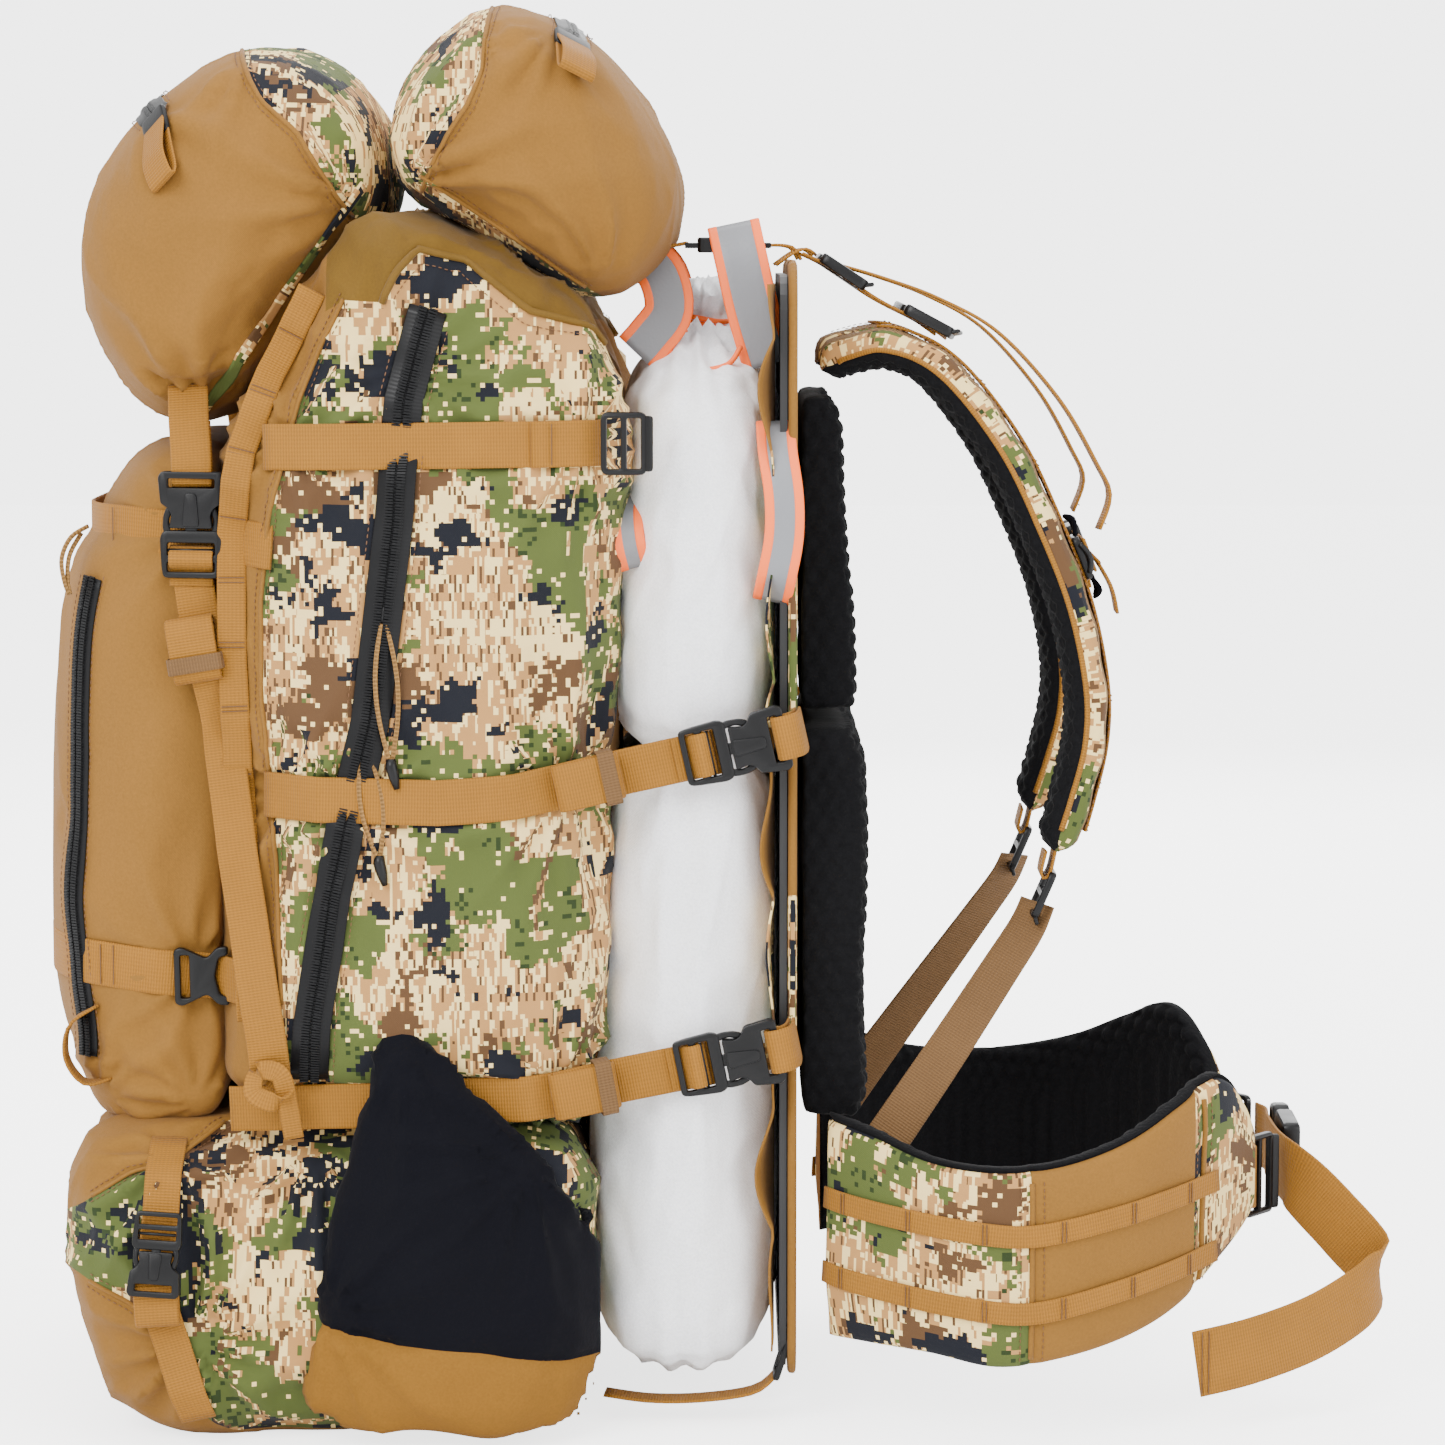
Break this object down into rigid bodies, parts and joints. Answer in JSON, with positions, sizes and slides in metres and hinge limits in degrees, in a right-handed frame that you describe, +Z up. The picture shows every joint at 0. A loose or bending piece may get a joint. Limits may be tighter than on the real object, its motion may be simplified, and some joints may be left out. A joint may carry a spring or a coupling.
{
  "type": "hunting backpack",
  "caption": "Large external-load hunting backpack with split lid, compression straps, load shelf carrying game bags, shoulder harness and padded hip belt.",
  "frame": {"origin": "on the floor under the middle of the whole pack's bounding box", "axes": "+X the way the wearer faces, +Y the wearer's left, +Z up"},
  "size_m": [0.7555, 0.4132, 0.785],
  "materials": {
    "camo_fabric": "matt printed woven nylon, pixel pattern",
    "brown_fabric": "matt coyote-brown woven nylon",
    "stretch_fabric": "matt black-blue stretch weave",
    "white_cloth": "thin white game-bag cloth",
    "webbing": "golden-brown nylon webbing",
    "harness_webbing": "dark brown coarse webbing",
    "padded_fabric": "foam covered in camouflage fabric and black spacer mesh",
    "mesh_pad": "black quilted spacer mesh over foam",
    "zip_tape": "black coated zip tape",
    "zip_metal": "black painted slider",
    "buckle_plastic": "black satin acetal",
    "frame_plastic": "black moulded sheet"
  },
  "bodies": {
    "pack": {"frame_sheet": "frame_plastic", "back_panel": "camo_fabric", "lumbar_pad": "mesh_pad", "yoke": "mesh_pad", "main_bag": "camo_fabric", "front_pocket": "brown_fabric", "bottom_compartment": "camo_fabric", "side_pocket_r": "stretch_fabric", "side_pocket_l": "stretch_fabric", "game_bag_lower": "white_cloth", "game_bag_upper": "white_cloth", "side_zip_r": "zip_tape", "side_zip_l": "zip_tape", "front_zip_r": "zip_tape", "front_zip_l": "zip_tape", "strap_top_r": "webbing", "strap_top_l": "webbing", "lock_top_r": "buckle_plastic", "lock_top_l": "buckle_plastic", "strap_mid_r": "webbing", "strap_mid_l": "webbing", "strap_low_r": "webbing", "strap_low_l": "webbing", "mid_socket_r": "buckle_plastic", "mid_socket_l": "buckle_plastic", "low_socket_r": "buckle_plastic", "low_socket_l": "buckle_plastic", "lid_strap_r": "webbing", "lid_strap_l": "webbing", "lid_latch_r": "buckle_plastic", "lid_latch_l": "buckle_plastic", "lower_web_r": "harness_webbing", "lower_web_l": "harness_webbing"},
    "lid": {"lid_front": "brown_fabric", "lid_rear": "brown_fabric", "lid_socket_r": "buckle_plastic", "lid_socket_l": "buckle_plastic", "lid_anchor_r": "buckle_plastic", "lid_anchor_l": "buckle_plastic"},
    "harness": {"shoulder_strap_r": "padded_fabric", "shoulder_strap_l": "padded_fabric", "lifter_web_r": "webbing", "lifter_web_l": "webbing", "strap_lock_r": "buckle_plastic", "strap_lock_l": "buckle_plastic"},
    "sternum": {"sternum_slider_r": "buckle_plastic", "sternum_slider_l": "buckle_plastic", "sternum_strap": "webbing"},
    "belt": {"belt_wing_r": "padded_fabric", "belt_wing_l": "padded_fabric", "belt_lock_r": "buckle_plastic", "belt_lock_l": "buckle_plastic", "belt_web": "webbing", "belt_buckle": "buckle_plastic"},
    "mid_latch_r": {"mid_latch_r": "buckle_plastic"},
    "low_latch_r": {"low_latch_r": "buckle_plastic"},
    "zip_slider_r": {"zip_slider_r": "zip_metal"},
    "mid_latch_l": {"mid_latch_l": "buckle_plastic"},
    "low_latch_l": {"low_latch_l": "buckle_plastic"},
    "zip_slider_l": {"zip_slider_l": "zip_metal"}
  },
  "joints": [
    {"name": "lid_hinge", "type": "hinge", "parent": "pack", "child": "lid", "pos_m": [0.028, 0, 0.656], "axis": [0, 1, 0], "range_deg": [0, 40]},
    {"name": "harness_swing", "type": "hinge", "parent": "pack", "child": "harness", "pos_m": [0.046, 0, 0.65], "axis": [0, -1, 0], "range_deg": [0, 12]},
    {"name": "sternum_slide", "type": "slide", "parent": "harness", "child": "sternum", "axis": [0.3619, 0, -0.9322], "range_m": [-0.015, 0.015]},
    {"name": "belt_pitch", "type": "hinge", "parent": "pack", "child": "belt", "pos_m": [0.062, 0, 0.115], "axis": [0, -1, 0], "range_deg": [-4, 8]},
    {"name": "mid_latch_r_slide", "type": "slide", "parent": "pack", "child": "mid_latch_r", "axis": [-0.9762, 0, -0.2169], "range_m": [0, 0.019]},
    {"name": "mid_latch_l_slide", "type": "slide", "parent": "pack", "child": "mid_latch_l", "axis": [-0.9762, 0, -0.2169], "range_m": [0, 0.019]},
    {"name": "low_latch_r_slide", "type": "slide", "parent": "pack", "child": "low_latch_r", "axis": [-0.9803, 0, -0.1977], "range_m": [0, 0.025]},
    {"name": "low_latch_l_slide", "type": "slide", "parent": "pack", "child": "low_latch_l", "axis": [-0.9803, 0, -0.1977], "range_m": [0, 0.025]},
    {"name": "side_zip_slide_r", "type": "slide", "parent": "pack", "child": "zip_slider_r", "axis": [0.1208, 0.0073, 0.9926], "range_m": [-0.038, 0.05]},
    {"name": "side_zip_slide_l", "type": "slide", "parent": "pack", "child": "zip_slider_l", "axis": [0.1208, -0.0073, 0.9926], "range_m": [-0.038, 0.05]}
  ]
}
